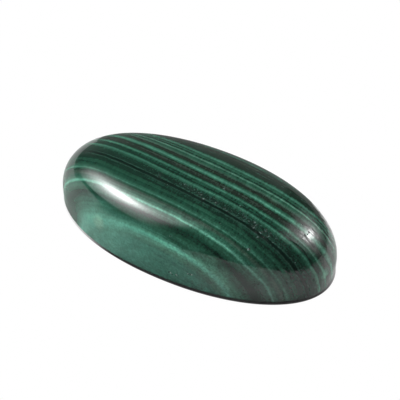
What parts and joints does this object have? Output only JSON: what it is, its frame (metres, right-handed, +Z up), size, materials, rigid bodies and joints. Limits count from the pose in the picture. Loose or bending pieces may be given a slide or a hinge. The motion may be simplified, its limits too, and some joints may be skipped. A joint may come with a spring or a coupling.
{
  "type": "oval malachite cabochon",
  "caption": "Polished oval malachite cabochon with a flat back, upright sides and a low domed crown; lies on its flat base, or sits in an oval bezel or on a glue pad.",
  "frame": {"origin": "middle of the flat base, on the surface that the stone lies on", "axes": "+X along the stone's length, -Y out of the long side that shows in the picture, +Z up out of the domed crown"},
  "size_m": [0.04, 0.02, 0.0097],
  "materials": {
    "malachite": "glassy lapidary polish on banded malachite, near-black green with light green growth lines, a few open pits"
  },
  "bodies": {
    "root": {"malachite_cabochon": "malachite"}
  },
  "joints": []
}
